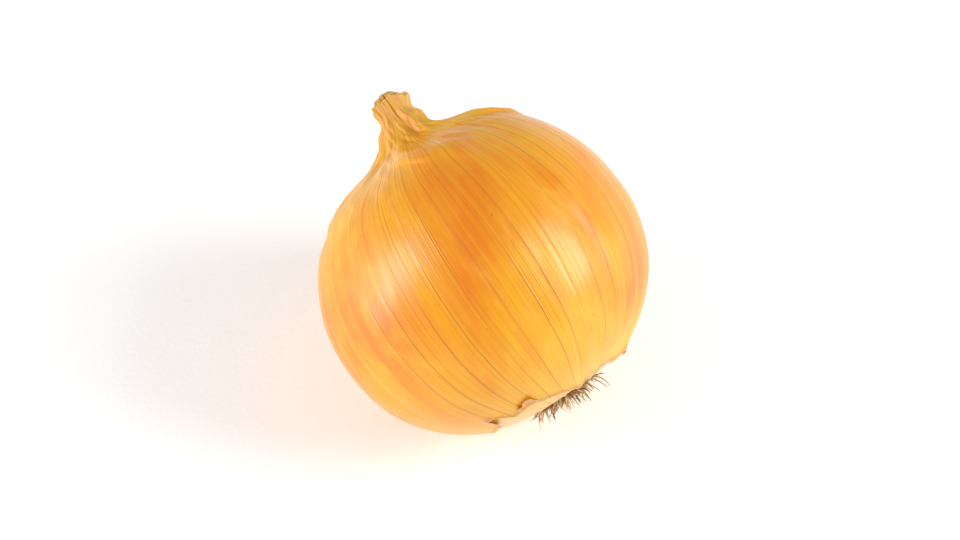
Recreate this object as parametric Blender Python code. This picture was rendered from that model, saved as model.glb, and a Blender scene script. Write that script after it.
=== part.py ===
"""A whole yellow onion, with its dried neck and its tuft of trimmed roots, lying on its side.

The bulb is drawn upright, as it grows, with +Z from the root plate to the neck. It is then laid over
until its neck points to -X and upwards, and it rests on a small flat on its lower flank. The origin
is the middle of that flat.
"""

import math

import bmesh
import bpy
from mathutils import Matrix, Vector

MM = 0.001

# Bulb
BULB_RADIUS = 41.0 * MM  # at its widest, across the growth axis
LOWER_HEIGHT = 37.0 * MM  # from the bulb's lowest rim up to its widest ring
UPPER_HEIGHT = 39.5 * MM  # from the widest ring up to the top of its dome, inside the neck
LOWER_FULLNESS = 2.25  # 2 is an ellipse; more is a squarer, flatter underside
SHOULDER_LATITUDE = math.radians(40.0)  # where the dome leaves its ellipse and sweeps into the neck
SHOULDER_HOLD = 0.52  # how far the sweep keeps to the dome's direction, as a share of its own reach

# Neck: the dried leaf bases, cut off above the bulb
NECK_RADIUS = 6.0 * MM  # at its foot, where the shoulder ends
NECK_LENGTH = 8.5 * MM  # from the top of the dome to the cut
NECK_FOOT_RISE = 0.22  # from the top of the dome up to the neck's foot, as a share of its length
NECK_DRAW_IN = 0.42  # how fast it still narrows at its foot, in radius lost for each height gained
NECK_HOLD = 0.30  # how far the sweep keeps to the neck's direction, as a share of its own reach
NECK_WAIST = 0.68  # the thinnest part, as a share of the neck's radius
NECK_WAIST_AT = 0.5  # where that is, as a share of the way from the foot to the cut
NECK_FLARE = 0.78  # the cut end, in the same way
NECK_LEAN = 4.2 * MM  # how far the cut end has drooped to one side
NECK_LEAN_TOWARDS = math.radians(65.0)
NECK_FOLDS = 5
NECK_FOLD_DEPTH = 0.11  # as a share of the local radius
NECK_TWIST = math.radians(70.0)  # how far the folds wind round, from the shoulder to the cut
CUT_SLANT = 1.3 * MM  # how unevenly the neck was cut
CUT_SLANT_TOWARDS = math.radians(-35.0)
CUT_DISH = 0.9 * MM  # how far the middle of the cut has shrunk below its edge
CUT_DISH_RING = 0.55  # the ring where the dish is nearly at its depth, as a share of the cut's radius
CUT_DISH_RING_DEPTH = 0.67  # its depth there, as a share of the dish

# Root plate: the corky disc under the bulb, with the stubs of its roots
PLATE_RADIUS = 9.0 * MM
PLATE_RIM = 2.6 * MM  # the band of skin that turns in round the plate
PLATE_RECESS = 1.5 * MM  # from the bulb's lowest rim up to the edge of the plate
PLATE_CROWN = 0.9 * MM  # how far the plate's middle stands out from its edge
STUBS = 22
STUB_RADIUS = 0.62 * MM
STUB_TAPER = 0.55
STUB_LENGTH = 4.6 * MM
STUB_ROOT = 1.2 * MM  # the length of each stub that is inside the plate
STUB_SPLAY = math.radians(34.0)  # how far the outermost stubs lean away from the axis
STUB_MARGIN = 1.2 * MM  # from the edge of the plate in to the outermost stubs
STUB_SIDES = 6

# A bulb is never quite round: each row is (waves round the bulb, share of the radius, phase)
LOBES = ((1, 0.006, 0.8), (2, 0.013, 2.1), (3, 0.006, 0.3), (5, 0.0035, 1.1))

# How it lies
AXIS_RISE = math.radians(32.0)  # the growth axis above the horizontal
FLAT_DEPTH = 0.9 * MM  # how much of the flank is pressed flat

# Mesh fineness
MERIDIANS = 60
LOWER_RINGS = 11
UPPER_RINGS = 8
SHOULDER_RINGS = 9
NECK_RINGS = 6
PLATE_RINGS = 3
WELD = 0.01 * MM  # points closer than this are one
CREASE_ANGLE = math.radians(50.0)  # edges sharper than this are shaded as edges

SKIN_COLOUR = (0.86, 0.30, 0.035, 1.0)
SKIN_ROUGHNESS = 0.34


def clear_scene():
    for obj in list(bpy.data.objects):
        bpy.data.objects.remove(obj)


def smoothstep(low, high, value):
    share = min(1.0, max(0.0, (value - low) / (high - low)))
    return share * share * (3.0 - 2.0 * share)


def dome_point(latitude):
    """Radius and height on the upper dome, an ellipse above the widest ring."""
    return Vector((BULB_RADIUS * math.cos(latitude), UPPER_HEIGHT * math.sin(latitude)))


def underside_point(latitude):
    """Radius and height under the widest ring, on a fuller curve than an ellipse."""
    power = 2.0 / LOWER_FULLNESS
    radius = BULB_RADIUS * math.cos(latitude) ** power
    return Vector((radius, -LOWER_HEIGHT * math.sin(latitude) ** power))


def underside_latitude(radius):
    """The latitude at which the underside has shrunk to this radius."""
    return math.acos((radius / BULB_RADIUS) ** (LOWER_FULLNESS / 2.0))


def bezier(points, t):
    a, b, c, d = points
    s = 1.0 - t
    return a * s**3 + b * (3 * s * s * t) + c * (3 * s * t * t) + d * t**3


def shoulder_curve():
    """The four control points of the sweep from the dome into the neck."""
    start = dome_point(SHOULDER_LATITUDE)
    sine, cosine = math.sin(SHOULDER_LATITUDE), math.cos(SHOULDER_LATITUDE)
    leaving = Vector((-BULB_RADIUS * sine, UPPER_HEIGHT * cosine)).normalized()
    end = Vector((NECK_RADIUS, UPPER_HEIGHT + NECK_FOOT_RISE * NECK_LENGTH))
    arriving = Vector((-NECK_DRAW_IN, 1.0)).normalized()
    reach = (start - end).length
    return start, start + leaving * reach * SHOULDER_HOLD, end - arriving * reach * NECK_HOLD, end


def neck_point(t):
    """Radius and height up the neck, t from 0 at its foot to 1 at the cut."""
    foot = shoulder_curve()[3]
    waist = NECK_RADIUS * NECK_WAIST
    flare = NECK_RADIUS * NECK_FLARE
    if t < NECK_WAIST_AT:
        radius = NECK_RADIUS + (waist - NECK_RADIUS) * smoothstep(0.0, NECK_WAIST_AT, t)
    else:
        radius = waist + (flare - waist) * smoothstep(NECK_WAIST_AT, 1.0, t)
    return Vector((radius, foot.y + (UPPER_HEIGHT + NECK_LENGTH - foot.y) * t))


def plate_point(t):
    """Radius and height across the root plate, t from 0 in its middle to 1 at its edge."""
    edge = -LOWER_HEIGHT + PLATE_RECESS
    return Vector((PLATE_RADIUS * t, edge - PLATE_CROWN * (1.0 - t * t)))


def profile():
    """The bulb's outline from the middle of the root plate to the middle of the cut."""
    points = [plate_point(i / PLATE_RINGS) for i in range(PLATE_RINGS + 1)]
    rim_latitude = underside_latitude(PLATE_RADIUS + PLATE_RIM)
    for i in range(LOWER_RINGS):
        points.append(underside_point(rim_latitude * (1.0 - i / LOWER_RINGS)))
    for i in range(UPPER_RINGS):
        points.append(dome_point(SHOULDER_LATITUDE * i / UPPER_RINGS))
    curve = shoulder_curve()
    points += [bezier(curve, i / SHOULDER_RINGS) for i in range(SHOULDER_RINGS)]
    points += [neck_point(i / NECK_RINGS) for i in range(NECK_RINGS + 1)]
    cut_radius, cut_height = points[-1]
    points.append(Vector((cut_radius * CUT_DISH_RING, cut_height - CUT_DISH * CUT_DISH_RING_DEPTH)))
    points.append(Vector((0.0, cut_height - CUT_DISH)))
    return points


def spun_bulb():
    """The outline spun round the growth axis, as a bmesh with its poles closed."""
    mesh = bmesh.new()
    outline = [mesh.verts.new((point.x, 0.0, point.y)) for point in profile()]
    edges = [mesh.edges.new(pair) for pair in zip(outline, outline[1:])]
    bmesh.ops.spin(
        mesh,
        geom=outline + edges,
        cent=(0.0, 0.0, 0.0),
        axis=(0.0, 0.0, 1.0),
        angle=math.tau,
        steps=MERIDIANS,
        use_merge=True,
    )
    bmesh.ops.remove_doubles(mesh, verts=mesh.verts, dist=WELD)
    bmesh.ops.recalc_face_normals(mesh, faces=mesh.faces)
    return mesh


def grown(point):
    """Where a point of the spun bulb goes once its lobes, neck folds, lean and cut are there."""
    around = math.atan2(point.y, point.x)
    foot = UPPER_HEIGHT * math.sin(SHOULDER_LATITUDE)
    cut = UPPER_HEIGHT + NECK_LENGTH
    up_neck = smoothstep(foot, cut, point.z)
    lobes = sum(share * math.cos(waves * around + phase) for waves, share, phase in LOBES)
    folds = math.cos(NECK_FOLDS * (around + NECK_TWIST * up_neck))
    folded = NECK_FOLD_DEPTH * smoothstep(foot, UPPER_HEIGHT, point.z) * folds
    scale = 1.0 + lobes * (1.0 - up_neck) + folded
    lean = NECK_LEAN * up_neck
    slant = CUT_SLANT * smoothstep(UPPER_HEIGHT, cut, point.z) * math.cos(around - CUT_SLANT_TOWARDS)
    return Vector(
        (
            point.x * scale + lean * math.cos(NECK_LEAN_TOWARDS),
            point.y * scale + lean * math.sin(NECK_LEAN_TOWARDS),
            point.z + slant,
        )
    )


def lying_matrix():
    """Turns the upright bulb so that its neck points to -X, AXIS_RISE above the horizontal."""
    return Matrix.Rotation(AXIS_RISE - math.pi / 2.0, 4, "Y")


def press_flat(mesh):
    """Cuts the lowest FLAT_DEPTH off the mesh and closes it. Returns the middle of the flat."""
    level = min(vertex.co.z for vertex in mesh.verts) + FLAT_DEPTH
    bmesh.ops.bisect_plane(
        mesh,
        geom=list(mesh.verts) + list(mesh.edges) + list(mesh.faces),
        dist=WELD,
        plane_co=(0.0, 0.0, level),
        plane_no=(0.0, 0.0, -1.0),
        clear_outer=True,
    )
    rim = [edge for edge in mesh.edges if edge.is_boundary]
    flat = bmesh.ops.edgeloop_fill(mesh, edges=rim)["faces"][0]
    for vertex in flat.verts:
        vertex.co.z = level
    bmesh.ops.recalc_face_normals(mesh, faces=mesh.faces)
    return flat.calc_center_median_weighted()


def add_stub(mesh, foot, along):
    """One tapered root stub, from foot in the direction along, closed at both ends."""
    turn = along.to_track_quat("Z", "Y").to_matrix().to_4x4()
    bmesh.ops.create_cone(
        mesh,
        cap_ends=True,
        segments=STUB_SIDES,
        radius1=STUB_RADIUS,
        radius2=STUB_RADIUS * STUB_TAPER,
        depth=STUB_LENGTH,
        matrix=Matrix.Translation(foot + along * STUB_LENGTH / 2.0) @ turn,
    )


def root_stubs():
    """All the stubs in one bmesh, set out over the plate as seeds are in a sunflower."""
    mesh = bmesh.new()
    golden_angle = math.pi * (3.0 - math.sqrt(5.0))
    reach = PLATE_RADIUS - STUB_MARGIN
    for i in range(STUBS):
        share = math.sqrt((i + 0.5) / STUBS)
        around = i * golden_angle
        radius, height = plate_point(share * reach / PLATE_RADIUS)
        outwards = Vector((math.cos(around), math.sin(around), 0.0))
        splay = STUB_SPLAY * share
        along = outwards * math.sin(splay) - Vector((0.0, 0.0, math.cos(splay)))
        foot = outwards * radius + Vector((0.0, 0.0, height))
        add_stub(mesh, foot - along * STUB_ROOT, along)
    return mesh


def skin_material():
    material = bpy.data.materials.new("onion_skin")
    material.use_nodes = True
    shader = material.node_tree.nodes["Principled BSDF"]
    shader.inputs["Base Color"].default_value = SKIN_COLOUR
    shader.inputs["Roughness"].default_value = SKIN_ROUGHNESS
    shader.inputs["Metallic"].default_value = 0.0
    return material


def placed_object(name, mesh, matrix):
    """An object that holds the bmesh, with its place in its mesh."""
    mesh.transform(matrix)
    data = bpy.data.meshes.new(name)
    mesh.to_mesh(data)
    mesh.free()
    obj = bpy.data.objects.new(name, data)
    bpy.context.scene.collection.objects.link(obj)
    return obj


def build():
    clear_scene()
    bulb = spun_bulb()
    for vertex in bulb.verts:
        vertex.co = grown(vertex.co)
    laid = lying_matrix()
    bulb.transform(laid)
    to_origin = Matrix.Translation(-press_flat(bulb))

    onion = placed_object("onion", bulb, to_origin)
    onion.data.materials.append(skin_material())
    onion.data.shade_smooth()
    onion.data.set_sharp_from_angle(angle=CREASE_ANGLE)

    stubs = placed_object("root_stub_tool", root_stubs(), to_origin @ laid)
    stubs.hide_render = True
    stubs.display_type = "WIRE"
    union = onion.modifiers.new("roots", "BOOLEAN")
    union.operation = "UNION"
    union.solver = "EXACT"
    union.object = stubs


build()
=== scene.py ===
"""A whole yellow onion on a white studio floor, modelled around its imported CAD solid.

A place on the skin is an angle round the bulb, called around, and a length up its outline from
the edge of the root plate, called along. OnionShape turns the two into a point of the onion as it
lies in the CAD solid. Each operator makes one of the pieces that can be seen.
"""

import math
import random

import bpy
import numpy as np
from bpy.props import FloatProperty, FloatVectorProperty, IntProperty, PointerProperty
from mathutils import Matrix, Vector, noise


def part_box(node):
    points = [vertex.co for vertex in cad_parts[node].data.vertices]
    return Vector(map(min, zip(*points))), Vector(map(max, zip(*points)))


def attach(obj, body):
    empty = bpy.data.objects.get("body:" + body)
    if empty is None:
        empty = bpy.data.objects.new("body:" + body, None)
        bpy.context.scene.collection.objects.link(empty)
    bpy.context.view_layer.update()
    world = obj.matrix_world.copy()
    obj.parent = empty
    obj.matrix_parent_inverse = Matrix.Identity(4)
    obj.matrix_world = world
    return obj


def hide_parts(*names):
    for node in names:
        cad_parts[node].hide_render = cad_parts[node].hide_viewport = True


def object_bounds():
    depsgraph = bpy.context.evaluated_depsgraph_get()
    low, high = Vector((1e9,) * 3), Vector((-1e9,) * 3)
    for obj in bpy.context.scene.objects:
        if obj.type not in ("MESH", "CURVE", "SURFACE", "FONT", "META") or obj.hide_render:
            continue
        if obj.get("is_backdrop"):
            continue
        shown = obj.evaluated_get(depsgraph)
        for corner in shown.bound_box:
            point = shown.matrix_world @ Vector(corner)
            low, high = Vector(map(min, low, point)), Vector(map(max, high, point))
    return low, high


bl_info = {
    "name": "Whole Onion",
    "version": (1, 0, 0),
    "blender": (4, 5, 0),
    "location": "3D View > Sidebar > Onion",
    "description": "Models a whole dry onion, piece by piece, and the studio round it",
    "category": "Object",
}

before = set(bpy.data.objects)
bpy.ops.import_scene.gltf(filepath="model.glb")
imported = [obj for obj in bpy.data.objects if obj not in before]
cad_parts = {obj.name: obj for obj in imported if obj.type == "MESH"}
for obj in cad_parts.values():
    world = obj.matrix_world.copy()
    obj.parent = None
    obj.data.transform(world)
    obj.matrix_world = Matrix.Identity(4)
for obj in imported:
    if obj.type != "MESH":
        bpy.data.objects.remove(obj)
CAD_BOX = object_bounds()
NODE = "onion"
BODY = "root"
MM = 0.001
TURN = math.tau
SUBJECT = Vector((CAD_BOX[0] + CAD_BOX[1]) / 2.0)

# The onion's shape, as the CAD solid has it
LOWER_FULLNESS = 2.25
SHOULDER_LATITUDE = math.radians(40.0)
SHOULDER_HOLD = 0.52
NECK_FOOT_RISE = 0.22
NECK_DRAW_IN = 0.42
NECK_HOLD = 0.30
NECK_WAIST = 0.68
NECK_FLARE = 0.78
NECK_LEAN = 4.2 * MM
NECK_LEAN_TOWARDS = math.radians(65.0)
NECK_FOLDS = 5
NECK_FOLD_DEPTH = 0.11
NECK_TWIST = math.radians(70.0)
CUT_SLANT = 1.3 * MM
CUT_SLANT_TOWARDS = math.radians(-35.0)
CUT_DISH = 0.9 * MM
PLATE_RIM = 2.6 * MM
PLATE_RECESS = 1.5 * MM
PLATE_CROWN = 0.9 * MM
LOBES = ((1, 0.006, 0.8), (2, 0.013, 2.1), (3, 0.006, 0.3), (5, 0.0035, 1.1))
AXIS_RISE = math.radians(32.0)
FLAT_ROUNDING = 0.5 * MM  # how softly the skin bends round the edge of the resting spot
OUTLINE_STEPS = 90  # points on each stretch of the outline
SHIFT_STEPS = 241  # points each way that the onion's place in the CAD box is read from
SLOPE_STEP = 0.8 * MM  # how far to each side the outline's slope is read
LEAST_SLOPE = 0.001 * MM

# How finely each piece is meshed: round the bulb or across, then up it
BULB_MESH = (256, 190)
OUTER_MESH = (360, 118)
SCRAP_MESH = (34, 44)
NECK_MESH = (200, 26)
PLATE_SIDES, PLATE_RINGS = 120, 22
ROOT_SIDES, ROOT_JOINTS = 5, 8
FLOOR_SIDES, FLOOR_RADIUS = 96, 6.0

# Gathers that only the skins have: folds round the neck, share of the radius, twist and phase
GATHERS = ((9, 0.04, 1.5, 0.4), (14, 0.036, 0.9, 2.0), (23, 0.026, 1.9, 1.2), (37, 0.012, 1.2, 0.1))

# The slow swells and long ribs of the scales, and how near the skin's ends they fade out
SWELL_HEIGHT = 0.42 * MM
RIB_HEIGHT = 0.13 * MM
ROOT_FADE = 8.0 * MM
NECK_FADE = 12.0 * MM
ROW_CROWDING = 0.55  # how much closer together a skin's rows lie near both ends

# The glossy skin: how far it lies in, and how its end draws in and down inside the neck
GLOSSY_SINK = 0.28 * MM
NECK_HOLLOW = 1.7 * MM
CUT_SINK = 2.4 * MM

# The outer skin: how far it lies out, and how its edges curl, thin out and come loose
OUTER_RISE = 0.10 * MM
CURL_LEAST = 0.25 * MM
CURL_MOST = 1.1 * MM
CURL_REACH = 2.6 * MM
THIN_REACH = 1.1 * MM
LOOSE_RISE = 0.35 * MM
CUT_TEETH = 0.9 * MM
LEAST_GIRTH = 4.0 * MM

# Where the outer skin has broken furthest back from the root plate
BROKEN_AROUND = math.radians(-48.0)
BROKEN_SPREAD = math.radians(30.0)
BROKEN_BACK = 6.0 * MM

# The teeth of its edge at the root: seed, how many round the bulb, and their depth
ROOT_TEETH = ((5, 9, 5.0 * MM), (6, 31, 2.2 * MM), (7, 150, 0.7 * MM))

# The splits that run up from that edge: how many, how wide and how deep
SPLITS = 9
SPLIT_WIDTHS = (0.07, 0.14)
SPLIT_DEPTHS = (1.5 * MM, 4.0 * MM)

# Each side of the long tear: its seed, and how often it jogs across to the next veins
TEAR_SIDES = ((41, 7), (47, 9))
TEAR_JOG = 0.012  # the length that a jog takes, as a share of the tear's
TEAR_NICKS = 0.05  # the depth of the nicks in its sides, as a share of its width

# Each scrap: its place round the bulb in degrees, then its place along it, its width, its length
# and the lift of its free end, in millimetres
SCRAPS = ((-46.0, 14.5, 5.5, 4.5, 0.5), (158.0, 9.0, 9.0, 13.0, 1.0))
SCRAP_RISE = 0.42 * MM
SCRAP_ROLL = 0.4 * MM
SCRAP_CRUMPLE = 0.3 * MM

# The root plate
PLATE_THICKNESS = 1.2 * MM
PLATE_OVERLAP = 0.3 * MM  # how far it goes under the skin round it
PLATE_PROUD = 0.35 * MM
PLATE_CRUMBS = 0.55 * MM
PLATE_EDGE = 1.2 * MM  # the width of its turned-up edge
PLATE_EDGE_RISE = 0.6 * MM

# The roots
ROOT_LENGTHS = (1.6 * MM, 5.4 * MM)
ROOT_THICKNESSES = (0.20 * MM, 0.44 * MM)
ROOT_TAPER = 0.86  # from each joint to the next
ROOT_MARGIN = 1.1 * MM  # how far from the plate's edge the outermost stand
ROOT_BURIED = 0.3 * MM
ROOT_DRYNESS = (0.60, 0.30)  # the middle and the spread of the roots' shades
GOLDEN_ANGLE = math.pi * (3.0 - math.sqrt(5.0))

# Each layer in the neck, in millimetres: its lift, how far it stands past the cut, how ragged and
# how wavy it is
NECK_LAYERS = (
    (-0.50, 0.9, 1.6, 0.20),
    (-1.00, -0.2, 1.9, 0.25),
    (-1.50, 0.8, 1.5, 0.28),
    (-2.00, 0.2, 1.7, 0.28),
    (-2.45, 0.7, 1.6, 0.26),
    (-2.90, 0.3, 1.4, 0.24),
    (-3.30, 0.8, 1.3, 0.20),
)
LAYER_DEPTH = 9.0 * MM  # how far down inside the neck each starts
LAYER_FLARE = 0.4 * MM  # how far the outermost opens at the cut. The inner ones draw in
LAYER_FADE = 0.8 * MM  # how far down from its end each is frayed

# Veins: how many round the bulb, half a line's width as a share of a step, darkness and relief
MAIN_VEINS = {"count": 44, "width": 0.070, "darkness": 0.62, "relief": 0.55}
FINE_VEINS = {"count": 130, "width": 0.14, "darkness": 0.30, "relief": 0.25}
VEIN_DRIFT = 0.022  # how far a vein wanders from its even place, as a share of a turn
VEIN_WAVER = 0.004

# Patterns that follow the growth: their scale round and up, detail, roughness and distortion
DRIFT = ((4.0, 4.0, 0.35), 1.0, 0.5, 0.0)
WAVER = ((5.0, 5.0, 2.4), 2.0, 0.5, 0.0)
FADING = ((7.0, 7.0, 0.8), 2.0, 0.6, 0.0)
PATCHES = ((1.3, 1.3, 1.0), 4.0, 0.55, 0.4)
STREAKS = ((24.0, 24.0, 0.6), 3.0, 0.6, 0.0)
SCUFFS = ((3.4, 3.4, 1.7), 5.0, 0.62, 0.5)
CRINKLE = ((30.0, 30.0, 12.0), 3.0, 0.6, 0.8)
RIBS = ((52.0, 52.0, 0.8), 2.0, 0.5, 0.0)

# Patterns in space: their scale, detail, roughness and distortion
UNEVEN = (170.0, 3.0, 0.6, 0.0)
SPECKS = (330.0, 2.0, 0.6, 0.0)
STAINS = (46.0, 5.0, 0.7, 0.6)
GRAIN = (2600.0, 2.0, 0.6, 0.0)
ROOT_GRAIN = (900.0, 3.0, 0.6, 0.0)
CRUMBS = (420.0, 6.0, 0.7, 0.5)
PAPER_TOOTH = (700.0, 4.0, 0.6, 0.0)
CRACK_SCALE = 520.0
TOOTH_COLOUR = (0.75, 0.75, 0.75)

# What sets the finishes of the glossy skin, the outer skin and the neck apart
TONES = {
    "seed": (4.0, 1.0, 7.0),
    "root_fade": ((-1.05, -0.35), (-1.10, -0.55), (-9.0, -8.0)),
    "neck_fade": ((1.15, 1.75), (1.20, 1.80), (0.8, 1.2)),
    "crinkle": (0.10, 0.22, 0.5),
    "roughness": (0.30, 0.36, 0.55),
    "relief": (0.10 * MM, 0.12 * MM, 0.22 * MM),
    "coat": (0.35, 0.10, 0.0),
    "browning": (0.0, 0.7, 0.10),
    "richness": (0.45, 0.0, 0.0),
    "scuffing": (0.2, 0.9, 0.5),
    "depth": (0.04, 0.03, 0.10),
}
GLOSSY, OUTER, NECK = ({key: row[at] for key, row in TONES.items()} for at in range(3))

# Each soft light: its name, the way to it from the onion, its distance, size and watts
SOFT_LIGHTS = (
    ("left_light", (-0.42, -0.86, 0.30), 0.80, (0.34, 0.56), 5.0),
    ("right_light", (0.68, 0.53, 0.51), 0.80, (0.38, 0.56), 5.6),
)
WALL_FADE = (0.02, 0.35)  # how high the walls' light starts and ends fading into the room's
LENS = 100.0
NEAR_CLIP = 0.01


def ease(share):
    share = np.clip(share, 0.0, 1.0)
    return share * share * (3.0 - 2.0 * share)


def between(low, high, value):
    """0 up to low, 1 from high on, and a smooth climb between them."""
    return ease((value - low) / (high - low))


class OnionShape:
    """The onion's outline, its lobes and folds, and its place in the CAD solid."""

    def __init__(self, sizes):
        self.sizes = sizes
        self.turn = np.array(Matrix.Rotation(AXIS_RISE - math.pi / 2.0, 3, "Y"))
        self.edge_height = PLATE_RECESS - sizes.lower_height
        self.cut_height = sizes.upper_height + sizes.neck_length
        self.shoulder_height = sizes.upper_height * math.sin(SHOULDER_LATITUDE)
        plate, side, dish = self.plate(), self.side(), self.dish()
        points = np.concatenate((plate, side, dish))
        steps = np.linalg.norm(np.diff(points, axis=0), axis=1)
        lengths = np.concatenate(([0.0], np.cumsum(steps)))
        self.radius, self.height = points.T
        self.lengths = lengths - lengths[len(plate)]
        self.start = self.lengths[0]
        self.length = self.lengths[len(plate) + len(side) - 1]
        self.end = self.lengths[-1]
        self.widest = self.lengths[len(plate) + side[:, 0].argmax()]
        self.shift = self.resting_shift()

    def dome(self, latitude):
        radius = self.sizes.bulb_radius * np.cos(latitude)
        return np.stack((radius, self.sizes.upper_height * np.sin(latitude)), axis=-1)

    def underside(self, latitude):
        power = 2.0 / LOWER_FULLNESS
        radius = self.sizes.bulb_radius * np.cos(latitude) ** power
        return np.stack((radius, -self.sizes.lower_height * np.sin(latitude) ** power), axis=-1)

    def shoulder(self):
        """The four control points of the sweep from the dome into the neck."""
        start = self.dome(SHOULDER_LATITUDE)
        sideways = -self.sizes.bulb_radius * math.sin(SHOULDER_LATITUDE)
        upwards = self.sizes.upper_height * math.cos(SHOULDER_LATITUDE)
        leaving = np.array((sideways, upwards)) / math.hypot(sideways, upwards)
        foot_height = self.sizes.upper_height + NECK_FOOT_RISE * self.sizes.neck_length
        end = np.array((self.sizes.neck_radius, foot_height))
        arriving = np.array((-NECK_DRAW_IN, 1.0)) / math.hypot(NECK_DRAW_IN, 1.0)
        reach = np.linalg.norm(start - end)
        after_start = start + leaving * reach * SHOULDER_HOLD
        before_end = end - arriving * reach * NECK_HOLD
        return start, after_start, before_end, end

    def neck(self, share, foot):
        """Radius and height up the neck, from its foot at 0 to the cut at 1."""
        full = self.sizes.neck_radius
        narrowing = full * (1.0 + (NECK_WAIST - 1.0) * ease(share * 2.0))
        widening = full * (NECK_WAIST + (NECK_FLARE - NECK_WAIST) * ease(share * 2.0 - 1.0))
        radius = np.where(share < 0.5, narrowing, widening)
        return np.stack((radius, foot[1] + (self.cut_height - foot[1]) * share), axis=-1)

    def plate(self):
        """The outline's points across the root plate, from its middle almost to its edge."""
        out = np.linspace(0.0, self.sizes.plate_radius, OUTLINE_STEPS // 3, endpoint=False)
        return np.stack((out, self.plate_height(out)), axis=-1)

    def dish(self):
        """The outline's points across the cut, from just inside its edge to its middle."""
        share = np.linspace(0.0, 1.0, OUTLINE_STEPS // 3 + 1)[1:]
        radius = self.sizes.neck_radius * NECK_FLARE * (1.0 - share)
        return np.stack((radius, self.cut_height - CUT_DISH * ease(share * 2.0)), axis=-1)

    def side(self):
        """The outline's points, from the edge of the root plate to the edge of the cut."""
        share = np.linspace(0.0, 1.0, OUTLINE_STEPS, endpoint=False)
        t = share[:, None]
        rim = self.sizes.plate_radius + PLATE_RIM
        lowest = math.acos((rim / self.sizes.bulb_radius) ** (LOWER_FULLNESS / 2.0))
        corner = np.array((self.sizes.plate_radius, self.edge_height))
        turning_in = corner + (self.underside(lowest) - corner) * t
        a, b, c, d = self.shoulder()
        sweep = a * (1 - t) ** 3 + 3 * b * (1 - t) ** 2 * t + 3 * c * (1 - t) * t**2 + d * t**3
        stretches = (
            turning_in,
            self.underside(lowest * (1.0 - share)),
            self.dome(SHOULDER_LATITUDE * share),
            sweep,
            self.neck(np.append(share, 1.0), d),
        )
        return np.concatenate(stretches)

    def read(self, values, along):
        """The outline's radius or height at a length along it."""
        return np.interp(along, self.lengths, values)

    def outline(self, along, lift, closed=False):
        """Radius and height at a length along the outline, lifted off it by lift.

        A closed skin turns in over the cut at the neck's end, and an open one goes straight on.
        """
        past_cut = 0.0 if closed else np.maximum(along - self.length, 0.0)
        along = along - past_cut
        ahead = np.minimum(along + SLOPE_STEP, self.end if closed else self.length)
        behind = np.maximum(along - SLOPE_STEP, self.start)
        rise = self.read(self.height, ahead) - self.read(self.height, behind)
        run = self.read(self.radius, ahead) - self.read(self.radius, behind)
        slope = np.maximum(np.hypot(rise, run), LEAST_SLOPE)
        radius = self.read(self.radius, along) + lift * rise / slope
        height = self.read(self.height, along) - lift * run / slope
        return np.maximum(radius, 0.0), height + past_cut

    def grown(self, around, radius, height):
        """Points of the upright onion, with its lobes, folds, lean and slanted cut."""
        up_neck = between(self.shoulder_height, self.cut_height, height)
        gathered = between(self.shoulder_height, self.sizes.upper_height, height)
        lobes = sum(share * np.cos(waves * around + phase) for waves, share, phase in LOBES)
        folds = NECK_FOLD_DEPTH * np.cos(NECK_FOLDS * (around + NECK_TWIST * up_neck))
        for count, depth, twist, phase in GATHERS:
            folds = folds + depth * np.cos(count * (around + twist * up_neck) + phase)
        scale = 1.0 + lobes * (1.0 - up_neck) + folds * gathered
        slant = CUT_SLANT * between(self.sizes.upper_height, self.cut_height, height)
        x = radius * scale * np.cos(around) + NECK_LEAN * up_neck * math.cos(NECK_LEAN_TOWARDS)
        y = radius * scale * np.sin(around) + NECK_LEAN * up_neck * math.sin(NECK_LEAN_TOWARDS)
        z = height + slant * np.cos(around - CUT_SLANT_TOWARDS)
        return np.stack((x, y, z), axis=-1)

    def plate_height(self, out):
        """The height of the upright root plate, out from its middle."""
        return self.edge_height - PLATE_CROWN * (1.0 - (out / self.sizes.plate_radius) ** 2)

    def laid(self, points):
        """Upright points, moved to where the onion lies. None goes under the floor."""
        points = points @ self.turn.T + self.shift
        points[:, 2] = (points[:, 2] + np.hypot(points[:, 2], FLAT_ROUNDING)) / 2.0
        return points

    def resting_shift(self):
        """From the upright onion's own origin to its place in the CAD solid's box."""
        turns = np.linspace(0.0, TURN, SHIFT_STEPS)
        around, along = np.meshgrid(turns, np.linspace(0.0, self.length, SHIFT_STEPS))
        radius, height = self.outline(along.ravel(), 0.0)
        points = self.grown(around.ravel(), radius, height) @ self.turn.T
        low, high = map(np.array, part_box(NODE))
        shift = high - points.max(axis=0)
        shift[1] = (low[1] + high[1] - points[:, 1].min() - points[:, 1].max()) / 2.0
        return shift

    def place(self, around, along, lift):
        """Points on the skin as the onion lies, lifted off it by lift."""
        return self.laid(self.grown(around, *self.outline(along, lift)))

    def growth(self, around, along):
        """Pattern coordinates of places on the skin: round the bulb, and up it from its widest."""
        up = (along - self.widest) / self.sizes.bulb_radius
        return np.stack((np.cos(around), np.sin(around), up + 0.0 * around), axis=-1)


def rough(points, scale, octaves, seed):
    """Fractal noise at points, from about -1 to 1. Seed moves it to another stretch of noise."""
    offset = Vector((seed * 7.31, seed * 3.17, seed * 5.03))
    scaled = points * np.array(scale)
    return np.array([noise.fractal(Vector(p) + offset, 1.0, 2.0, octaves) for p in scaled])


def ragged(seed, knots, around):
    """A torn line round the bulb, from 0 to 1: straight runs between uneven teeth."""
    chance = random.Random(seed)
    at = sorted(chance.uniform(0.0, TURN) for _ in range(knots))
    heights = [chance.random() for _ in range(knots)]
    return np.interp(around, at, heights, period=TURN)


# ---- meshes


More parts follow.
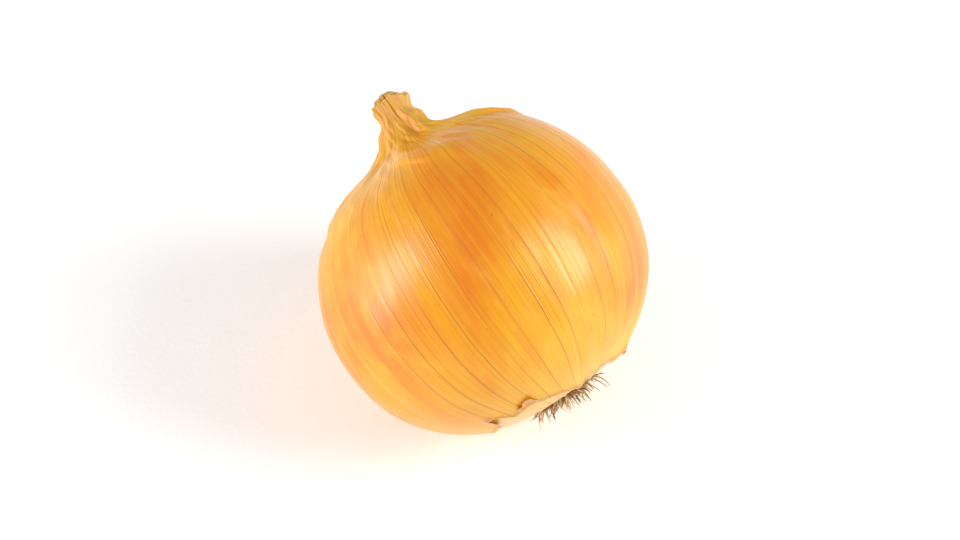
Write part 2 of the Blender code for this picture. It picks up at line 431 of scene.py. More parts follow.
def start_piece(name):
    """Deselects everything and clears the way for a new piece. A new run replaces the old one."""
    if bpy.context.object and bpy.context.object.mode != "OBJECT":
        bpy.ops.object.mode_set(mode="OBJECT")
    bpy.ops.object.select_all(action="DESELECT")
    old = bpy.data.objects.get(name)
    if old:
        bpy.data.objects.remove(old)


def name_piece(name):
    piece = bpy.context.object
    piece.name = name
    piece.data.name = name
    return piece


def move_vertices(piece, points):
    piece.data.vertices.foreach_set("co", points.astype(np.float32).ravel())
    piece.data.update()


def vertex_places(piece):
    places = np.empty(len(piece.data.vertices) * 3, np.float32)
    piece.data.vertices.foreach_get("co", places)
    return places.reshape(-1, 3).astype(float)


def keep(piece, name, values):
    """Stores a number or a vector at each vertex, for the finish to read."""
    kind, key = ("FLOAT", "value") if values.ndim == 1 else ("FLOAT_VECTOR", "vector")
    made = piece.data.attributes.new(name, kind, "POINT")
    made.data.foreach_set(key, values.astype(np.float32).ravel())


def select_only(*pieces):
    bpy.ops.object.select_all(action="DESELECT")
    for piece in pieces:
        piece.select_set(True)
    bpy.context.view_layer.objects.active = pieces[0]


def finish_piece(piece, material):
    """Smooth shading, the material, and the CAD solid that the piece rides with and stands for."""
    piece.data.materials.append(material)
    select_only(piece)
    bpy.ops.object.shade_smooth()
    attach(piece, BODY)
    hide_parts(NODE)


def add_disc(name, sides, radius):
    start_piece(name)
    bpy.ops.mesh.primitive_circle_add(vertices=sides, radius=radius, fill_type="NGON")
    return name_piece(name)


def add_grid(name, columns, rows):
    """A flat grid of quads, and each vertex's share across it and up it, both from 0 to 1."""
    start_piece(name)
    bpy.ops.mesh.primitive_grid_add(x_subdivisions=columns, y_subdivisions=rows, size=1.0)
    piece = name_piece(name)
    flat = vertex_places(piece)
    return piece, flat[:, 0] + 0.5, flat[:, 1] + 0.5


def edit(piece, *steps):
    """Selects all of the piece in edit mode and runs mesh operators on it."""
    select_only(piece)
    bpy.ops.object.mode_set(mode="EDIT")
    bpy.ops.mesh.select_all(action="SELECT")
    for step in steps:
        step()
    bpy.ops.object.mode_set(mode="OBJECT")


def close_seam():
    """Joins a rolled grid's two sides where they meet, and turns its faces outwards."""
    bpy.ops.mesh.remove_doubles(threshold=0.004 * MM)
    bpy.ops.mesh.normals_make_consistent(inside=False)


def join_pieces(pieces, name):
    """Makes several pieces one."""
    start_piece(name)
    select_only(*pieces)
    bpy.ops.object.join()
    return name_piece(name)


def thicken(piece, thickness):
    """Gives a sheet its thickness, inwards from the side that shows."""
    wall = piece.modifiers.new("thickness", "SOLIDIFY")
    wall.thickness = thickness
    wall.offset = -1.0
    select_only(piece)
    bpy.ops.object.modifier_apply(modifier=wall.name)


# ---- materials


class Finish:
    """A material under construction. Each call adds a node and returns the socket that it gives."""

    def __init__(self, name):
        old = bpy.data.materials.get(name)
        if old:
            bpy.data.materials.remove(old)
        self.material = bpy.data.materials.new(name)
        self.material.use_nodes = True
        self.tree = self.material.node_tree
        self.shader = self.tree.nodes["Principled BSDF"]

    def feed(self, socket, value):
        if isinstance(value, bpy.types.NodeSocket):
            self.tree.links.new(value, socket)
        else:
            socket.default_value = value

    def node(self, kind, inputs, **settings):
        made = self.tree.nodes.new(kind)
        for key, value in settings.items():
            setattr(made, key, value)
        for key, value in inputs.items():
            self.feed(made.inputs[key], value)
        return made

    def attribute(self, name, output="Fac"):
        return self.node("ShaderNodeAttribute", {}, attribute_name=name).outputs[output]

    def place(self):
        return self.node("ShaderNodeTexCoord", {}).outputs["Object"]

    def part(self, vector, axis):
        return self.node("ShaderNodeSeparateXYZ", {"Vector": vector}).outputs[axis]

    def noise(self, *pattern):
        sockets = dict(zip(("Vector", "Scale", "Detail", "Roughness", "Distortion"), pattern))
        return self.node("ShaderNodeTexNoise", sockets).outputs["Fac"]

    def growth_noise(self, growth, pattern, seed):
        """Noise stretched along the growth. Seed moves it to another stretch of the noise."""
        scale, *others = pattern
        sockets = {0: growth, 1: scale, 2: (seed, seed * 0.7, seed * 0.3)}
        moved = self.node("ShaderNodeVectorMath", sockets, operation="MULTIPLY_ADD").outputs[0]
        return self.noise(moved, 1.0, *others)

    def maths(self, operation, a, b=0.0):
        return self.node("ShaderNodeMath", {0: a, 1: b}, operation=operation).outputs[0]

    def times(self, a, b):
        return self.maths("MULTIPLY", a, b)

    def total(self, value, *others):
        """Value, plus each of the others times its own weight."""
        for other, weight in others:
            value = self.maths("ADD", value, self.times(other, weight))
        return value

    def spread(self, value, low, high, at_low=0.0, at_high=1.0):
        """Value, eased from at_low where it is low to at_high where it is high."""
        values = (value, low, high, at_low, at_high)
        sockets = dict(zip(("Value", "From Min", "From Max", "To Min", "To Max"), values))
        made = self.node("ShaderNodeMapRange", sockets, interpolation_type="SMOOTHSTEP")
        return made.outputs["Result"]

    def ramp(self, value, stops):
        made = self.node("ShaderNodeValToRGB", {"Fac": value})
        elements = made.color_ramp.elements
        while len(elements) < len(stops):
            elements.new(0.5)
        for element, (position, colour) in zip(elements, stops):
            element.position = position
            element.color = (*colour, 1.0)
        return made.outputs["Color"]

    def mix(self, share, a, b):
        """Colour a, with share of colour b in it."""
        made = self.node("ShaderNodeMix", {"Factor": share}, data_type="RGBA")
        for socket, value in ((made.inputs[6], a), (made.inputs[7], b)):
            self.feed(socket, value if isinstance(value, bpy.types.NodeSocket) else (*value, 1.0))
        return made.outputs[2]

    def bump(self, height, distance):
        sockets = {"Height": height, "Distance": distance}
        return self.node("ShaderNodeBump", sockets).outputs["Normal"]

    def shine(self, **sockets):
        """Sets the shader's own sockets. A word's underscores stand for spaces."""
        for key, value in sockets.items():
            self.feed(self.shader.inputs[key.replace("_", " ").title()], value)


def veins(finish, growth, kind, seed):
    """Thin lines from root to neck at uneven steps round the bulb, 1 on a line and 0 off it."""
    count = kind["count"]
    angle = finish.maths("ARCTAN2", finish.part(growth, "Y"), finish.part(growth, "X"))
    drift = finish.growth_noise(growth, DRIFT, seed)
    waver = finish.growth_noise(growth, WAVER, seed + 3.0)
    steps = finish.times(angle, count / TURN)
    steps = finish.total(steps, (drift, VEIN_DRIFT * count), (waver, VEIN_WAVER * count))
    off_middle = finish.maths("SUBTRACT", finish.maths("FRACT", steps), 0.5)
    line = finish.spread(finish.maths("ABSOLUTE", off_middle), 0.0, kind["width"], 1.0, 0.0)
    fading = finish.growth_noise(growth, FADING, seed + 6.0)
    return finish.times(line, finish.spread(fading, 0.30, 0.55, 0.15))


def skin_colour(finish, colours, tone, growth, main, fine, streaks, scuffed):
    """Gold to deep orange, mottled, pale at the root and straw-coloured at the neck."""
    up, place = finish.part(growth, "Z"), finish.place()
    uneven = finish.spread(finish.noise(place, *UNEVEN), 0.3, 0.7, 0.80, 1.20)
    torn = finish.times(finish.attribute("edge"), uneven)
    specks, stains = finish.noise(place, *SPECKS), finish.noise(place, *STAINS)
    stops = ((0.34, colours["gold"]), (0.50, colours["orange"]), (0.68, colours["deep"]))
    colour = finish.ramp(finish.growth_noise(growth, PATCHES, tone["seed"]), stops)
    # Each layer of colour: how much there is of it, and which it is. The last lies on top
    for share, tint in (
        (finish.spread(streaks, 0.42, 0.72, 0.0, 0.40), "gold"),
        (finish.spread(streaks, 0.50, 0.28, 0.0, 0.30), "deep"),
        (tone["richness"], "copper"),
        (finish.spread(up, *tone["root_fade"], 0.75, 0.0), "pale"),
        (finish.spread(up, *tone["neck_fade"], 0.0, 0.90), "straw"),
        (finish.times(fine, FINE_VEINS["darkness"]), "vein"),
        (finish.times(main, MAIN_VEINS["darkness"]), "vein"),
        (finish.spread(torn, 0.05, 0.55, 0.0, tone["browning"]), "browned"),
        (finish.spread(torn, 0.62, 1.05, 0.0, 0.85), "edge"),
        (finish.spread(specks, 0.745, 0.79, 0.0, 0.6), "speck"),
        (finish.spread(stains, 0.62, 0.78, 0.0, 0.5), "deep"),
        (finish.times(scuffed, 0.45), "pale"),
    ):
        colour = finish.mix(share, colour, colours[tint])
    return colour


def skin_finish(name, colours, tone):
    """Dry onion skin: veined, streaked, scuffed and slightly glossy."""
    finish = Finish(name)
    seed = tone["seed"]
    growth = finish.attribute("growth", "Vector")
    main = veins(finish, growth, MAIN_VEINS, seed)
    fine = veins(finish, growth, FINE_VEINS, seed + 2.0)
    streaks = finish.growth_noise(growth, STREAKS, seed + 5.0)
    scuffs = finish.growth_noise(growth, SCUFFS, seed + 11.0)
    scuffed = finish.times(finish.spread(scuffs, 0.50, 0.72), tone["scuffing"])
    height = finish.total(
        finish.times(main, MAIN_VEINS["relief"]),
        (fine, FINE_VEINS["relief"]),
        (finish.growth_noise(growth, RIBS, 8.0), 1.1),
        (finish.growth_noise(growth, CRINKLE, 2.0), tone["crinkle"]),
        (finish.noise(finish.place(), *GRAIN), 0.06),
    )
    neck_end = finish.spread(finish.part(growth, "Z"), *tone["neck_fade"])
    dullest, glossiest = tone["roughness"] + 0.07, tone["roughness"] - 0.07
    gloss = finish.spread(streaks, 0.3, 0.7, dullest, glossiest)
    finish.shine(
        base_color=skin_colour(finish, colours, tone, growth, main, fine, streaks, scuffed),
        roughness=finish.total(gloss, (neck_end, 0.25), (scuffed, 0.22)),
        normal=finish.bump(height, tone["relief"]),
        coat_weight=tone["coat"],
        coat_roughness=0.20,
        subsurface_weight=tone["depth"],
        subsurface_radius=(1.0, 0.5, 0.12),
        subsurface_scale=1.2 * MM,
    )
    return finish.material


def root_finish(name, colours):
    """Dried roots: each strand its own shade between straw and dark brown, darker at its foot."""
    finish = Finish(name)
    grain = finish.noise(finish.place(), *ROOT_GRAIN)
    mottle = finish.spread(grain, 0.3, 0.7, -0.15, 0.15)
    shade = finish.maths("ADD", finish.attribute("shade"), mottle)
    dark, middle, pale = colours["root_dark"], colours["root"], colours["root_pale"]
    colour = finish.ramp(shade, ((0.05, dark), (0.45, middle), (0.95, pale)))
    finish.shine(base_color=colour, roughness=0.72, normal=finish.bump(grain, 0.12 * MM))
    return finish.material


def cork_finish(name, colours):
    """The corky root plate: dark, cracked and crumbly."""
    finish = Finish(name)
    place = finish.place()
    crumbs = finish.noise(place, *CRUMBS)
    sockets = {"Vector": place, "Scale": CRACK_SCALE}
    cells = finish.node("ShaderNodeTexVoronoi", sockets, feature="DISTANCE_TO_EDGE")
    cracks = finish.spread(cells.outputs["Distance"], 0.0, 0.12, 1.0, 0.0)
    dark, middle, pale = colours["root_dark"], colours["cork"], colours["root"]
    colour = finish.ramp(crumbs, ((0.3, dark), (0.55, middle), (0.8, pale)))
    colour = finish.mix(cracks, colour, dark)
    height = finish.maths("SUBTRACT", crumbs, finish.times(cracks, 0.5))
    finish.shine(base_color=colour, roughness=0.88, normal=finish.bump(height, 0.5 * MM))
    return finish.material


def floor_finish(name, colour, glow):
    """White studio paper, with a barely visible tooth, lit a little from below."""
    finish = Finish(name)
    tooth = finish.noise(finish.place(), *PAPER_TOOTH)
    finish.shine(
        base_color=finish.mix(finish.spread(tooth, 0.3, 0.7, 0.0, 0.03), colour, TOOTH_COLOUR),
        roughness=0.9,
        normal=finish.bump(tooth, 0.05 * MM),
        emission_color=(1.0, 1.0, 1.0, 1.0),
        emission_strength=glow,
    )
    return finish.material


# ---- pieces


def lay_sheet(piece, shape, around, along, lift, edge):
    """Lays a grid on the onion as one layer of skin. Edge is 1 where it is torn and 0 inside."""
    move_vertices(piece, shape.place(around, along, lift))
    keep(piece, "growth", shape.growth(around, along))
    keep(piece, "edge", edge)
    edit(piece, close_seam)
    thicken(piece, shape.sizes.skin_thickness)
    return piece


def skin_lift(shape, around, along):
    """The slow swells and long ribs of the scales under the skin, fading out at both ends."""
    growth = shape.growth(around, along)
    swells = SWELL_HEIGHT * rough(growth, (1.5, 1.5, 1.0), 3, 1.0)
    ribs = RIB_HEIGHT * rough(growth, (7.0, 7.0, 0.5), 2, 4.0)
    from_root = between(0.0, ROOT_FADE, along)
    return (swells + ribs) * from_root * between(shape.length, shape.length - NECK_FADE, along)


def row_lengths(share, low, high):
    """Spreads rows from low to high, closer together near both ends."""
    closer = share - ROW_CROWDING * np.sin(TURN * share) / TURN
    return low + (high - low) * closer


class ONION_OT_bulb_skin(bpy.types.Operator):
    """Models the glossy skin of the bulb, closed at the root plate and inside the neck"""

    bl_idname = "onion.bulb_skin"
    bl_label = "Bulb skin"

    def execute(self, context):
        shape = OnionShape(context.scene.onion_sizes)
        start_piece("bulb_skin")
        segments, rings = BULB_MESH
        bpy.ops.mesh.primitive_uv_sphere_add(segments=segments, ring_count=rings)
        piece = name_piece("bulb_skin")
        ball = vertex_places(piece)
        around = np.arctan2(ball[:, 1], ball[:, 0])
        up = np.arcsin(np.clip(ball[:, 2], -1.0, 1.0)) / math.pi + 0.5
        along = row_lengths(up, shape.start, shape.end)
        to_cut = shape.length - along
        inside_neck = between(16.0 * MM, 5.0 * MM, to_cut)
        lift = skin_lift(shape, around, along) - GLOSSY_SINK - NECK_HOLLOW * inside_neck
        radius, height = shape.outline(along, lift, closed=True)
        height = height - CUT_SINK * between(8.0 * MM, 0.0, to_cut)
        move_vertices(piece, shape.laid(shape.grown(around, radius, height)))
        keep(piece, "growth", shape.growth(around, along))
        keep(piece, "edge", np.zeros(len(along)))
        finish_piece(piece, skin_finish("inner_skin", colours_of(context), GLOSSY))
        return {"FINISHED"}


class ONION_OT_outer_skin(bpy.types.Operator):
    """Models the papery outer skin, a sheet rolled round the bulb and torn at the root and back"""

    bl_idname = "onion.outer_skin"
    bl_label = "Outer skin"

    def execute(self, context):
        sizes = context.scene.onion_sizes
        shape = OnionShape(sizes)
        piece, across, up = add_grid("outer_skin", *OUTER_MESH)
        turned = TURN * across
        edge = root_edge(sizes, turned)
        top = shape.length + CUT_TEETH * (ragged(21, 40, turned) - 0.6)
        along = row_lengths(up, edge, top)
        left, right = tear_sides(sizes, along)
        turned = left + turned * (TURN - left - right) / TURN
        around = sizes.tear_around + turned
        girth = np.maximum(shape.outline(along, 0.0)[0], LEAST_GIRTH)
        from_side = np.minimum(turned - left, TURN - right - turned) * girth
        from_side = np.where(along < sizes.tear_length, from_side, 1.0)
        from_edge = np.minimum(along - edge, from_side)
        curl = CURL_LEAST + CURL_MOST * ragged(33, 17, turned) ** 2
        growth = shape.growth(around, along)
        loose = LOOSE_RISE * between(0.05, 0.7, rough(growth, (2.6, 2.6, 1.7), 2, 8.0))
        lift = skin_lift(shape, around, along) + OUTER_RISE + curl * np.exp(-from_edge / CURL_REACH)
        lift = lift + loose * between(shape.length, shape.length - 20.0 * MM, along)
        thin = np.exp(-np.maximum(from_edge, 0.0) / THIN_REACH)
        lay_sheet(piece, shape, around, along, lift, thin)
        finish_piece(piece, skin_finish("outer_skin", colours_of(context), OUTER))
        return {"FINISHED"}


def root_edge(sizes, around):
    """How far from the root plate the outer skin has broken off, round the bulb."""
    off = (around + sizes.tear_around - BROKEN_AROUND + math.pi) % TURN - math.pi
    edge = sizes.bare_root + BROKEN_BACK * np.exp(-((off / BROKEN_SPREAD) ** 2))
    for seed, teeth, depth in ROOT_TEETH:
        edge = edge + depth * ragged(seed, teeth, around)
    chance = random.Random(11)
    for _ in range(SPLITS):
        middle = chance.uniform(0.0, TURN)
        width = chance.uniform(*SPLIT_WIDTHS)
        depth = chance.uniform(*SPLIT_DEPTHS)
        off = np.abs((around - middle + math.pi) % TURN - math.pi)
        edge = edge + depth * np.maximum(0.0, 1.0 - off / width) ** 1.2
    return edge


def tear_sides(sizes, along):
    """How far round the bulb each side of the long tear stands off its middle, in radians.

    A side runs up between two veins, then jogs across to the next ones.
    """
    sides = []
    share = along / sizes.tear_length
    for seed, jogs in TEAR_SIDES:
        chance = random.Random(seed)
        at, widths, width = [0.0], [1.0], 1.0
        for place in sorted(chance.uniform(0.06, 0.94) for _ in range(jogs)):
            narrower = max(0.0, width - chance.uniform(0.02, 0.30))
            at += [place, place + TEAR_JOG]
            widths += [width, narrower]
            width = narrower + chance.uniform(0.0, 0.04)
        nicks = TEAR_NICKS * ragged(seed + 1, 90, share * TURN)
        stands_off = np.interp(share, at + [1.0], widths + [0.0]) + nicks
        sides.append(sizes.tear_width * stands_off * between(1.0, 0.9, share))
    return sides


def make_scrap(shape, number, degrees, *lengths):
    """One scrap of skin, stuck down at its foot and curling away at its free end."""
    foot, width, length, curl = (MM * each for each in lengths)
    piece, across, up = add_grid(f"scrap_{number}", *SCRAP_MESH)
    across = across * 2.0 - 1.0
    sides = [0.62 + 0.5 * ragged(60 + 2 * number + side, 6, up * 5.0) for side in (0, 1)]
    half = width / 2.0 * np.where(across < 0.0, sides[0], sides[1])
    ends = [ragged(80 + 2 * number + end, 8, across * 2.0 + 3.0) for end in (0, 1)]
    low_end = 0.30 * length * ends[0] * (1.0 - up)
    high_end = 0.34 * length * ends[1] * up
    along = foot + up * length + low_end - high_end
    around = math.radians(degrees) + across * half / shape.outline(along, 0.0)[0]
    growth = shape.growth(around, along)
    free = np.clip((up - 0.25) / 0.75, 0.0, 1.0)
    rolled = SCRAP_ROLL * np.abs(across) ** 2.5
    lift = skin_lift(shape, around, along) + SCRAP_RISE + curl * free**2.2 + rolled
    crumple = SCRAP_CRUMPLE * rough(growth, (9.0, 9.0, 6.0), 2, 13.0 + number)
    near_edge = np.minimum(1.0 - np.abs(across), np.minimum(up, 1.0 - up) * 2.0)
    thin = 0.42 + 0.58 * np.exp(-near_edge / 0.08)
    return lay_sheet(piece, shape, around, along, lift + crumple * free, thin)


class ONION_OT_skin_scraps(bpy.types.Operator):
    """Models the scraps of broken skin that still cling to the bulb"""

    bl_idname = "onion.skin_scraps"
    bl_label = "Skin scraps"

    def execute(self, context):
        shape = OnionShape(context.scene.onion_sizes)
        scraps = [make_scrap(shape, number, *scrap) for number, scrap in enumerate(SCRAPS)]
        papery = skin_finish("scrap_skin", colours_of(context), OUTER)
        finish_piece(join_pieces(scraps, "skin_scraps"), papery)
        return {"FINISHED"}


class ONION_OT_root_plate(bpy.types.Operator):
    """Models the corky root plate, a crumbly disc sunk into the bulb"""

    bl_idname = "onion.root_plate"
    bl_label = "Root plate"

    def execute(self, context):
        shape = OnionShape(context.scene.onion_sizes)
        radius = shape.sizes.plate_radius + PLATE_OVERLAP
        piece = add_disc("root_plate", PLATE_SIDES, radius)

        def inset():
            bpy.ops.mesh.inset(thickness=radius / (PLATE_RINGS + 1.0))

        edit(piece, *[inset] * PLATE_RINGS, bpy.ops.mesh.poke)
        disc = vertex_places(piece)
        around = np.arctan2(disc[:, 1], disc[:, 0])
        out = np.hypot(disc[:, 0], disc[:, 1])
        crumbs = PLATE_CRUMBS * rough(disc / (1.7 * MM), (1.0, 1.0, 1.0), 4, 2.0)
        inner = between(radius, radius - PLATE_EDGE, out)
        crumbly = shape.plate_height(out) - shape.edge_height - PLATE_PROUD - crumbs
        height = shape.edge_height + crumbly * inner + PLATE_EDGE_RISE * (1.0 - inner)
        move_vertices(piece, shape.laid(shape.grown(around, out, height)))
        edit(piece, bpy.ops.mesh.flip_normals)
        thicken(piece, PLATE_THICKNESS)
        finish_piece(piece, cork_finish("cork", colours_of(context)))
        return {"FINISHED"}


def make_strand():
    """One straight tapered strand, a unit long and a unit in radius at its foot."""
    piece = add_disc("strand", ROOT_SIDES, 1.0)
    step = {"value": (0.0, 0.0, 1.0 / ROOT_JOINTS)}
    taper = (ROOT_TAPER, ROOT_TAPER, 1.0)

    def grow():
        bpy.ops.mesh.extrude_region_move(TRANSFORM_OT_translate=step)
        bpy.ops.transform.resize(value=taper, center_override=(0.0, 0.0, 0.0))

    edit(piece, *[grow] * ROOT_JOINTS)
    return piece


def root_foot(shape, share, around):
    """Where a root leaves the upright root plate, a share of the way out from its middle."""
    out = share * (shape.sizes.plate_radius - ROOT_MARGIN)
    height = shape.plate_height(out) + ROOT_BURIED
    return np.array((out * math.cos(around), out * math.sin(around), height))


def bent_strand(strand, foot, share, around, chance):
    """The strand as one root: from its foot, leaning out, curling as it goes."""
    length = chance.uniform(*ROOT_LENGTHS) * (0.8 + 0.4 * share)
    thick = chance.uniform(*ROOT_THICKNESSES)
    lean = math.radians(12.0 + 62.0 * share**1.4) + chance.uniform(-0.25, 0.25)
    heading = around + chance.uniform(-0.7, 0.7)
    curl = chance.uniform(-1.1, 1.5)
    swerve = chance.uniform(-1.3, 1.3)

    def way(along, rise):
        """The way that the root heads, at a share of its length, tilted up by rise."""
        tilt, turn = lean + curl * along + rise, heading + swerve * along**1.5
        flat = np.sin(tilt)
        return np.stack((flat * np.cos(turn), flat * np.sin(turn), -np.cos(tilt)), axis=-1)

    steps = np.linspace(0.0, 1.0, ROOT_JOINTS + 1)
    ways = way(steps, 0.0)
    middle = np.cumsum((ways[1:] + ways[:-1]) / 2.0, axis=0) * length / ROOT_JOINTS
    middle = np.concatenate((np.zeros((1, 3)), middle))
    along = strand[:, 2]
    centre = np.stack([np.interp(along, steps, axis) for axis in middle.T], axis=-1)
    side = way(along, math.pi / 2.0)
    across = np.cross(way(along, 0.0), side)
    return foot + centre + thick * (strand[:, :1] * side + strand[:, 1:2] * across)


class ONION_OT_roots(bpy.types.Operator):
    """Models the dried roots: one tapered strand, copied and bent for each root"""

    bl_idname = "onion.roots"
    bl_label = "Roots"

    def execute(self, context):
        sizes = context.scene.onion_sizes
        shape = OnionShape(sizes)
        strand = make_strand()
        straight = vertex_places(strand)
        tips = between(0.0, 0.5, straight[:, 2])
        chance = random.Random(3)
        roots = []
        for number in range(sizes.roots):
            share = math.sqrt((number + 0.5) / sizes.roots)
            around = number * GOLDEN_ANGLE + chance.uniform(-0.3, 0.3)
            foot = root_foot(shape, share, around)
            bent = bent_strand(straight, foot, share, around, chance)
            dryness = min(1.0, max(0.0, chance.gauss(*ROOT_DRYNESS)))
            root = strand.copy()
            root.data = strand.data.copy()
            context.scene.collection.objects.link(root)
            turned, out = np.arctan2(bent[:, 1], bent[:, 0]), np.hypot(bent[:, 0], bent[:, 1])
            move_vertices(root, shape.laid(shape.grown(turned, out, bent[:, 2])))
            keep(root, "shade", dryness * (0.45 + 0.55 * tips))
            roots.append(root)
        bpy.data.objects.remove(strand)
        dry_root = root_finish("dry_root", colours_of(context))
        finish_piece(join_pieces(roots, "roots"), dry_root)
        return {"FINISHED"}


def make_layer(shape, number, *lengths):
    """One dry layer, rolled round inside the neck."""
    lift, past_cut, raggedness, waviness = (MM * each for each in lengths)
    piece, across, up = add_grid(f"neck_layer_{number}", *NECK_MESH)
    around = TURN * across
    teeth = ragged(100 + number, 17, around) + 0.4 * ragged(110 + number, 90, around)
    top = shape.length + past_cut + raggedness * (teeth - 0.9)
    low = shape.length - LAYER_DEPTH
    along = low + (top - low) * up
    waves = waviness * rough(shape.growth(around, along), (2.4, 2.4, 3.0), 2, 20.0 + number)
    opening = between(shape.length - 2.0 * MM, shape.length + 2.0 * MM, along)
    flare = LAYER_FLARE * (2 - number) / 2.0 * opening
    frayed = np.exp(-(top - along) / LAYER_FADE)
    return lay_sheet(piece, shape, around, along, lift + waves + flare, frayed)


class ONION_OT_neck_layers(bpy.types.Operator):
    """Models the dry leaf bases nested in the neck, each with its own ragged end"""

    bl_idname = "onion.neck_layers"
    bl_label = "Neck layers"

    def execute(self, context):
        shape = OnionShape(context.scene.onion_sizes)
        layers = [make_layer(shape, number, *layer) for number, layer in enumerate(NECK_LAYERS)]
        dry_neck = skin_finish("neck_skin", colours_of(context), NECK)
        finish_piece(join_pieces(layers, "neck_layers"), dry_neck)
        return {"FINISHED"}


def light_world(context, studio):
    """A white room, a little brighter near the floor than overhead."""
    world = bpy.data.worlds.new("studio_world")
    world.use_nodes = True
    tree = world.node_tree
    background = tree.nodes["Background"]
    background.inputs["Color"].default_value = (1.0, 1.0, 1.0, 1.0)
    kinds = ("ShaderNodeTexCoord", "ShaderNodeSeparateXYZ", "ShaderNodeMapRange")
    way, height, fade = (tree.nodes.new(kind) for kind in kinds)
    values = (*WALL_FADE, studio.wall_light, studio.room_light)
    for key, value in zip(("From Min", "From Max", "To Min", "To Max"), values):
        fade.inputs[key].default_value = value
    tree.links.new(way.outputs["Generated"], height.inputs["Vector"])
    tree.links.new(height.outputs["Z"], fade.inputs["Value"])
    tree.links.new(fade.outputs["Result"], background.inputs["Strength"])
    context.scene.world = world


def add_light(name, way, distance, size, power):
    start_piece(name)
    towards = Vector(way).normalized()
    bpy.ops.object.light_add(type="AREA", location=SUBJECT + towards * distance)
    light = name_piece(name)
    light.rotation_euler = towards.to_track_quat("Z", "Y").to_euler()
    light.data.shape = "RECTANGLE"
    light.data.size, light.data.size_y = size
    light.data.energy = power
    light.visible_camera = False


def add_camera(context, studio):
    start_piece("camera")
    turn, rise = studio.camera_turn, studio.camera_rise
    level = math.cos(rise)
    back = Vector((math.sin(turn) * level, -math.cos(turn) * level, math.sin(rise)))
    bpy.ops.object.camera_add(location=SUBJECT + back * studio.camera_distance)
    camera = name_piece("camera")
    camera.rotation_euler = back.to_track_quat("Z", "Y").to_euler()
    camera.data.lens = LENS
    camera.data.clip_start = NEAR_CLIP
    context.scene.camera = camera


class ONION_OT_studio(bpy.types.Operator):
    """Sets up the white floor, the soft lights and the camera"""

    bl_idname = "onion.studio"
    bl_label = "Studio"

    def execute(self, context):
        studio = context.scene.onion_studio
        floor = add_disc("floor", FLOOR_SIDES, FLOOR_RADIUS)
        paper = floor_finish("studio_paper", studio.floor_colour, studio.floor_light)
        floor.data.materials.append(paper)
        floor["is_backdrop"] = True
        light_world(context, studio)
        for light in SOFT_LIGHTS:
            add_light(*light)
        add_camera(context, studio)
        context.scene.view_settings.view_transform = "Standard"
        return {"FINISHED"}


# ---- settings


def number_setting(name, description, value, **more):
    return FloatProperty(name=name, description=description, default=value, min=0.0, **more)


def size_setting(name, description, value):
    return number_setting(name, description, value, precision=5, unit="LENGTH")


def angle_setting(name, description, degrees):
    return number_setting(name, description, math.radians(degrees), subtype="ANGLE")


def colour_setting(name, description, value):
    words = {"name": name, "description": description}
    return FloatVectorProperty(**words, default=value, min=0.0, max=1.0, subtype="COLOR")


class OnionSizes(bpy.types.PropertyGroup):
    """The sizes that shape the onion"""

    bulb_radius: size_setting("Bulb radius", "At its widest, across the growth axis", 41.0 * MM)
    lower_height: size_setting("Lower height", "From the widest down to the root rim", 37.0 * MM)
    upper_height: size_setting("Upper height", "From the widest up to the dome's top", 39.5 * MM)
    neck_radius: size_setting("Neck radius", "At the neck's foot", 6.0 * MM)
    neck_length: size_setting("Neck length", "From the dome's top to the cut", 8.5 * MM)
    plate_radius: size_setting("Root plate radius", "Of the corky disc", 9.0 * MM)
    skin_thickness: size_setting("Skin thickness", "Of one papery layer", 0.10 * MM)
    bare_root: size_setting("Bare root end", "The least that the skin has broken back", 5.0 * MM)
    tear_length: size_setting("Tear length", "From the root plate up the back", 70.0 * MM)
    tear_width: angle_setting("Tear width", "Half the tear's width at the root, in angle", 17.0)
    tear_around: angle_setting("Tear place", "Where the tear is, round the bulb", 126.0)
    roots: IntProperty(name="Roots", description="How many dried roots", default=190, min=1)


class OnionColours(bpy.types.PropertyGroup):
    """The colours of the onion"""

    gold: colour_setting("Gold", "The lightest of the skin", (0.88, 0.44, 0.010))
    orange: colour_setting("Orange", "Most of the skin", (0.86, 0.325, 0.004))
    deep: colour_setting("Deep orange", "The darkest of the skin", (0.80, 0.205, 0.002))
    copper: colour_setting("Copper", "The cast of the skin under a tear", (0.74, 0.22, 0.012))
    pale: colour_setting("Pale gold", "The skin near the root plate", (0.90, 0.51, 0.045))
    straw: colour_setting("Straw", "The dry neck", (0.80, 0.48, 0.14))
    vein: colour_setting("Vein", "The skin's veins", (0.52, 0.15, 0.010))
    edge: colour_setting("Torn edge", "Thin skin along a tear", (0.90, 0.62, 0.33))
    browned: colour_setting("Browned skin", "Dead skin beside a tear", (0.50, 0.19, 0.035))
    speck: colour_setting("Speck", "Small spots on the skin", (0.33, 0.10, 0.02))
    root: colour_setting("Root", "Dried roots", (0.52, 0.30, 0.12))
    root_pale: colour_setting("Pale root", "The lightest roots", (0.84, 0.64, 0.36))
    root_dark: colour_setting("Dark root", "The darkest roots", (0.09, 0.040, 0.016))
    cork: colour_setting("Cork", "The root plate", (0.20, 0.09, 0.035))


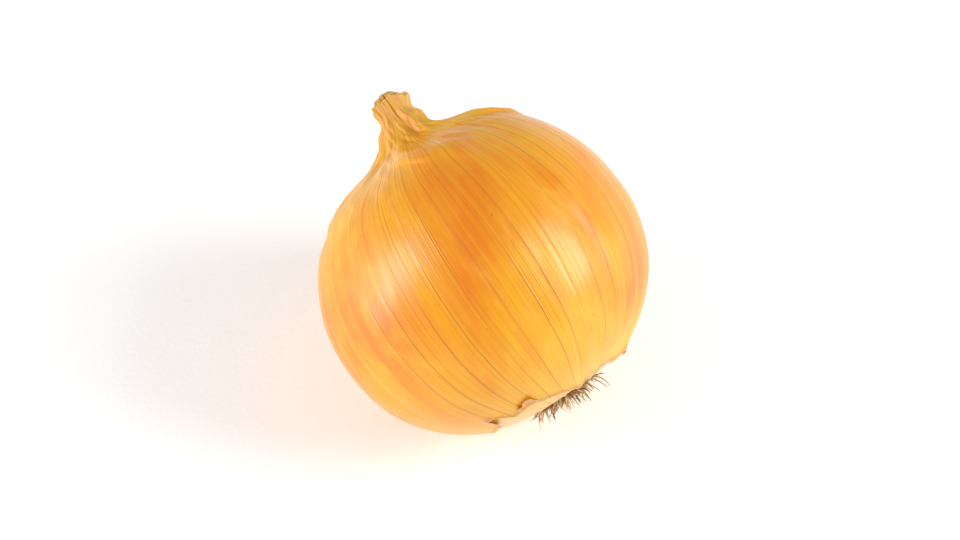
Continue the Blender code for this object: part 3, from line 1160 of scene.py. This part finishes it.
class OnionStudio(bpy.types.PropertyGroup):
    """The floor, the light and the camera"""

    floor_colour: colour_setting("Floor", "The studio paper", (0.94, 0.94, 0.94))
    room_light: number_setting("Room light", "Brightness of the room overhead", 0.42)
    wall_light: number_setting("Wall light", "Brightness of the room's walls", 0.66)
    floor_light: number_setting("Floor light", "How far the paper is lit from below", 0.20)
    camera_turn: angle_setting("Camera turn", "Round the onion from the front", 48.6)
    camera_rise: angle_setting("Camera rise", "Above the floor", 50.0)
    camera_distance: size_setting("Camera distance", "From the onion's middle", 0.66)


def colours_of(context):
    """The colours as they are set, by name."""
    group = context.scene.onion_colours
    return {key: tuple(getattr(group, key)) for key in group.__annotations__}


class ONION_PT_parts(bpy.types.Panel):
    """Lists the onion's settings and pieces"""

    bl_idname = "ONION_PT_parts"
    bl_label = "Onion"
    bl_space_type = "VIEW_3D"
    bl_region_type = "UI"
    bl_category = "Onion"

    def draw(self, context):
        scene = context.scene
        for group in (scene.onion_sizes, scene.onion_colours, scene.onion_studio):
            column = self.layout.column(align=True)
            for key in group.__annotations__:
                column.prop(group, key)
        for operator in OPERATORS:
            self.layout.operator(operator.bl_idname)


GROUPS = (OnionSizes, OnionColours, OnionStudio)
OPERATORS = (
    ONION_OT_bulb_skin,
    ONION_OT_outer_skin,
    ONION_OT_skin_scraps,
    ONION_OT_root_plate,
    ONION_OT_roots,
    ONION_OT_neck_layers,
    ONION_OT_studio,
)


def register():
    for each in (*GROUPS, *OPERATORS, ONION_PT_parts):
        bpy.utils.register_class(each)
    bpy.types.Scene.onion_sizes = PointerProperty(type=OnionSizes)
    bpy.types.Scene.onion_colours = PointerProperty(type=OnionColours)
    bpy.types.Scene.onion_studio = PointerProperty(type=OnionStudio)


def unregister():
    del bpy.types.Scene.onion_studio
    del bpy.types.Scene.onion_colours
    del bpy.types.Scene.onion_sizes
    for each in (ONION_PT_parts, *reversed(OPERATORS), *reversed(GROUPS)):
        bpy.utils.unregister_class(each)


def main():
    register()
    for operator in OPERATORS:
        area, name = operator.bl_idname.split(".")
        getattr(getattr(bpy.ops, area), name)()
    boxes = {"cad": CAD_BOX, "visual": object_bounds()}
    boxes = {key: [list(corner) for corner in box] for key, box in boxes.items()}


if __name__ == "__main__":
    main()
